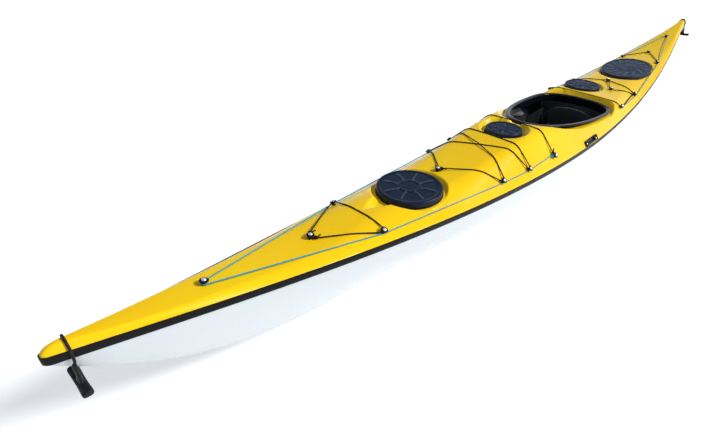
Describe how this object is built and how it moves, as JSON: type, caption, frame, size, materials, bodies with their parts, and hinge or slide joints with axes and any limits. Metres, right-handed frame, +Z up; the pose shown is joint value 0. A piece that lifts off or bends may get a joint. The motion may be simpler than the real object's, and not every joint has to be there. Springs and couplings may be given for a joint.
{
  "type": "sea kayak",
  "caption": "Long narrow composite sea kayak with an oval cockpit, rubber hatch covers, deck lines, bungees, carrying toggles and a retractable skeg worked by a side slider.",
  "frame": {"origin": "centre of the overall box at the height of the keel's lowest point", "axes": "+X to the bow, +Y to port, +Z up"},
  "size_m": [5.1976, 0.5682, 0.482],
  "materials": {
    "deck_gelcoat": "glossy yellow gelcoat over glass laminate",
    "hull_gelcoat": "glossy white gelcoat over glass laminate",
    "tape_gelcoat": "black gelcoat joint band",
    "coaming_gelcoat": "polished black gelcoat",
    "hatch_rubber": "smooth blue-black rubber",
    "toggle_rubber": "matt black rubber",
    "black_plastic": "moulded black nylon",
    "seat_plastic": "moulded black plastic with fine grain",
    "grey_plastic": "moulded grey plastic",
    "foam_fabric": "woven cover over foam",
    "laminate": "bare glass laminate",
    "alloy": "anodised, satin",
    "deck_line_cord": "braided blue deck line",
    "bungee_cord": "braided black shock cord"
  },
  "bodies": {
    "root": {"hull": "hull_gelcoat", "deck": "deck_gelcoat", "seam_tape": "tape_gelcoat", "cockpit_coaming": "coaming_gelcoat", "seat": "seat_plastic", "front_bulkhead": "laminate", "rear_bulkhead": "laminate", "stern_bulkhead": "laminate", "glove_pod": "black_plastic", "skeg_box": "laminate", "skeg_slider_housing": "black_plastic", "skeg_cable_tube": "grey_plastic", "bow_hatch_rim": "black_plastic", "pod_hatch_rim": "black_plastic", "day_hatch_rim": "black_plastic", "stern_hatch_rim": "black_plastic", "port_foot_rail": "alloy", "starboard_foot_rail": "alloy", "bow_deck_line": "deck_line_cord", "stern_deck_line": "deck_line_cord", "bow_bungee": "bungee_cord", "foredeck_bungee": "bungee_cord", "foredeck_cross_bungee": "bungee_cord", "aft_bungee": "bungee_cord", "day_hatch_bungee": "bungee_cord", "stern_bungee": "bungee_cord", "bow_toggle_cord": "bungee_cord", "stern_toggle_cord": "bungee_cord", "deck_fitting_c1": "black_plastic", "deck_fitting_c2": "black_plastic", "deck_fitting_c3": "black_plastic", "deck_fitting_c5": "black_plastic", "deck_fitting_c6": "black_plastic", "deck_fitting_ce": "black_plastic", "deck_fitting_px": "black_plastic", "deck_fitting_p2": "black_plastic", "deck_fitting_p3": "black_plastic", "deck_fitting_p4": "black_plastic", "deck_fitting_p5": "black_plastic", "deck_fitting_p6": "black_plastic", "deck_fitting_p7": "black_plastic", "deck_fitting_p8": "black_plastic", "deck_fitting_s2": "black_plastic", "deck_fitting_s3": "black_plastic", "deck_fitting_s4": "black_plastic", "deck_fitting_s5": "black_plastic", "deck_fitting_s6": "black_plastic", "deck_fitting_s7": "black_plastic", "deck_fitting_s8": "black_plastic"},
    "backband_body": {"backband": "foam_fabric"},
    "skeg": {"skeg_blade": "alloy"},
    "skeg_slider": {"skeg_slider_knob": "grey_plastic"},
    "port_pedal": {"port_foot_pedal": "black_plastic"},
    "starboard_pedal": {"starboard_foot_pedal": "black_plastic"},
    "bow_toggle": {"bow_toggle_handle": "toggle_rubber"},
    "stern_toggle": {"stern_toggle_handle": "toggle_rubber"},
    "bow_cover": {"bow_hatch_cover": "hatch_rubber"},
    "pod_cover": {"pod_hatch_cover": "hatch_rubber"},
    "day_cover": {"day_hatch_cover": "hatch_rubber"},
    "stern_cover": {"stern_hatch_cover": "hatch_rubber"}
  },
  "joints": [
    {"name": "backband_tilt", "type": "hinge", "parent": "root", "child": "backband_body", "pos_m": [-0.354, 0, 0.15], "axis": [0, 1, 0], "range_deg": [-12, 12]},
    {"name": "port_pedal_slide", "type": "slide", "parent": "root", "child": "port_pedal", "axis": [0.9956, -0.0939, 0], "range_m": [-0.1, 0.1]},
    {"name": "starboard_pedal_slide", "type": "slide", "parent": "root", "child": "starboard_pedal", "axis": [0.9956, 0.0939, 0], "range_m": [-0.1, 0.1]},
    {"name": "skeg_pivot", "type": "hinge", "parent": "root", "child": "skeg", "pos_m": [-1.43988, 0, 0.05081], "axis": [0, -1, 0], "range_deg": [0, 45]},
    {"name": "skeg_slide", "type": "slide", "parent": "root", "child": "skeg_slider", "axis": [1, 0, 0], "range_m": [0, 0.0855]},
    {"name": "bow_cover_lift", "type": "slide", "parent": "root", "child": "bow_cover", "axis": [0, 0, 1], "range_m": [0, 0.15]},
    {"name": "pod_cover_lift", "type": "slide", "parent": "root", "child": "pod_cover", "axis": [0, 0, 1], "range_m": [0, 0.12]},
    {"name": "day_cover_lift", "type": "slide", "parent": "root", "child": "day_cover", "axis": [0, 0, 1], "range_m": [0, 0.12]},
    {"name": "stern_cover_lift", "type": "slide", "parent": "root", "child": "stern_cover", "axis": [0.043, 0, 0.9991], "range_m": [0, 0.15]},
    {"name": "bow_toggle_swing", "type": "hinge", "parent": "root", "child": "bow_toggle", "pos_m": [2.548, 0.02953, 0.40149], "axis": [1, 0, 0], "range_deg": [0, 75]},
    {"name": "stern_toggle_swing", "type": "hinge", "parent": "root", "child": "stern_toggle", "pos_m": [-2.548, 0.03007, 0.39349], "axis": [1, 0, 0], "range_deg": [0, 75]}
  ],
  "couplings": [
    {"joint": "skeg_slide", "follows": "skeg_pivot", "m_per_rad": 0.10823}
  ]
}
